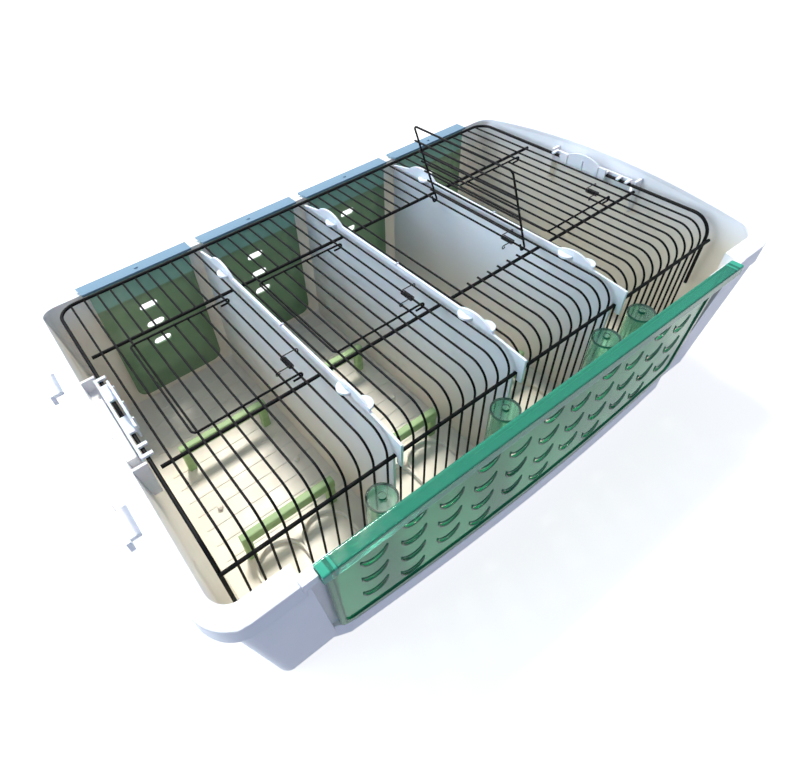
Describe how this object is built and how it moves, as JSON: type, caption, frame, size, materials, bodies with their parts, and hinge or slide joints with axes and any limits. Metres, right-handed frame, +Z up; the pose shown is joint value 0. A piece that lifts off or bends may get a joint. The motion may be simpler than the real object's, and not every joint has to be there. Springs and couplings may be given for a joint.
{
  "type": "bird carrier",
  "caption": "Low carrier for small cage birds: a plastic tub split by lift-out dividers under a wire grille with spring doors, with a louvred flap, rear panels, drinkers and perches.",
  "frame": {"origin": "on the ground under the middle of the carrier's length and depth", "axes": "+Z up, X along the carrier's length, the louvred flap faces -Y"},
  "size_m": [0.588, 0.358, 0.2334],
  "materials": {
    "white_plastic": "satin moulded",
    "milky_plastic": "frosted",
    "black_wire": "satin black paint",
    "spring_steel": "dark spring wire",
    "green_clear": "clear tinted",
    "perch_green": "satin"
  },
  "bodies": {
    "carrier": {"basin": "white_plastic", "grille_frame": "black_wire", "grille_long_wires": "black_wire", "grille_bends": "black_wire", "grille_front_bars": "black_wire", "grille_cross_wires": "black_wire", "grille_clip_left": "milky_plastic", "grille_clip_right": "milky_plastic", "rear_perch_1": "perch_green", "front_perch_1": "perch_green", "door_spring_1": "spring_steel", "rear_perch_2": "perch_green", "front_perch_2": "perch_green", "door_spring_2": "spring_steel", "rear_perch_3": "perch_green", "front_perch_3": "perch_green", "door_spring_3": "spring_steel", "rear_perch_4": "perch_green", "front_perch_4": "perch_green", "door_spring_4": "spring_steel"},
    "door_1": {"door_1": "black_wire"},
    "door_2": {"door_2": "black_wire"},
    "door_3": {"door_3": "black_wire"},
    "door_4": {"door_4": "black_wire"},
    "divider_1": {"divider_1": "milky_plastic"},
    "divider_2": {"divider_2": "milky_plastic"},
    "divider_3": {"divider_3": "milky_plastic"},
    "rear_panel_1": {"rear_panel_1": "green_clear"},
    "rear_panel_2": {"rear_panel_2": "green_clear"},
    "rear_panel_3": {"rear_panel_3": "green_clear"},
    "rear_panel_4": {"rear_panel_4": "green_clear"},
    "front_flap": {"front_flap": "green_clear"},
    "drinker_1": {"drinker_tube_1": "green_clear", "drinker_base_1": "green_clear"},
    "drinker_2": {"drinker_tube_2": "green_clear", "drinker_base_2": "green_clear"},
    "drinker_3": {"drinker_tube_3": "green_clear", "drinker_base_3": "green_clear"},
    "drinker_4": {"drinker_tube_4": "green_clear", "drinker_base_4": "green_clear"}
  },
  "joints": [
    {"name": "door_1_hinge", "type": "hinge", "parent": "carrier", "child": "door_1", "pos_m": [-0.138, 0.01675, 0.15], "axis": [0, 1, 0], "range_deg": [0, 95], "stiffness_Nm_per_rad": 0.02, "springref_deg": -14.32, "deforming": ["door_spring_1"]},
    {"name": "door_2_hinge", "type": "hinge", "parent": "carrier", "child": "door_2", "pos_m": [-0.018, 0.01675, 0.15], "axis": [0, 1, 0], "range_deg": [0, 95], "stiffness_Nm_per_rad": 0.02, "springref_deg": -14.32, "deforming": ["door_spring_2"]},
    {"name": "door_3_hinge", "type": "hinge", "parent": "carrier", "child": "door_3", "pos_m": [0.102, 0.01675, 0.15], "axis": [0, 1, 0], "range_deg": [-69, 26], "deforming": ["door_spring_3"]},
    {"name": "door_4_hinge", "type": "hinge", "parent": "carrier", "child": "door_4", "pos_m": [0.222, 0.01675, 0.15], "axis": [0, 1, 0], "range_deg": [0, 95], "stiffness_Nm_per_rad": 0.02, "springref_deg": -14.32, "deforming": ["door_spring_4"]},
    {"name": "divider_1_lift", "type": "slide", "parent": "carrier", "child": "divider_1", "axis": [0, 0, 1], "range_m": [0, 0.1]},
    {"name": "divider_2_lift", "type": "slide", "parent": "carrier", "child": "divider_2", "axis": [0, 0, 1], "range_m": [0, 0.1]},
    {"name": "divider_3_lift", "type": "slide", "parent": "carrier", "child": "divider_3", "axis": [0, 0, 1], "range_m": [0, 0.1]},
    {"name": "rear_panel_1_lift", "type": "slide", "parent": "carrier", "child": "rear_panel_1", "axis": [0, 0, 1], "range_m": [0, 0.1]},
    {"name": "rear_panel_2_lift", "type": "slide", "parent": "carrier", "child": "rear_panel_2", "axis": [0, 0, 1], "range_m": [0, 0.1]},
    {"name": "rear_panel_3_lift", "type": "slide", "parent": "carrier", "child": "rear_panel_3", "axis": [0, 0, 1], "range_m": [0, 0.1]},
    {"name": "rear_panel_4_lift", "type": "slide", "parent": "carrier", "child": "rear_panel_4", "axis": [0, 0, 1], "range_m": [0, 0.1]},
    {"name": "front_flap_swing", "type": "hinge", "parent": "carrier", "child": "front_flap", "pos_m": [0, -0.1715, 0.1435], "axis": [-1, 0, 0], "range_deg": [0, 100]},
    {"name": "drinker_1_lift", "type": "slide", "parent": "carrier", "child": "drinker_1", "axis": [0, 0, 1], "range_m": [0, 0.045]},
    {"name": "drinker_2_lift", "type": "slide", "parent": "carrier", "child": "drinker_2", "axis": [0, 0, 1], "range_m": [0, 0.045]},
    {"name": "drinker_3_lift", "type": "slide", "parent": "carrier", "child": "drinker_3", "axis": [0, 0, 1], "range_m": [0, 0.045]},
    {"name": "drinker_4_lift", "type": "slide", "parent": "carrier", "child": "drinker_4", "axis": [0, 0, 1], "range_m": [0, 0.045]}
  ]
}
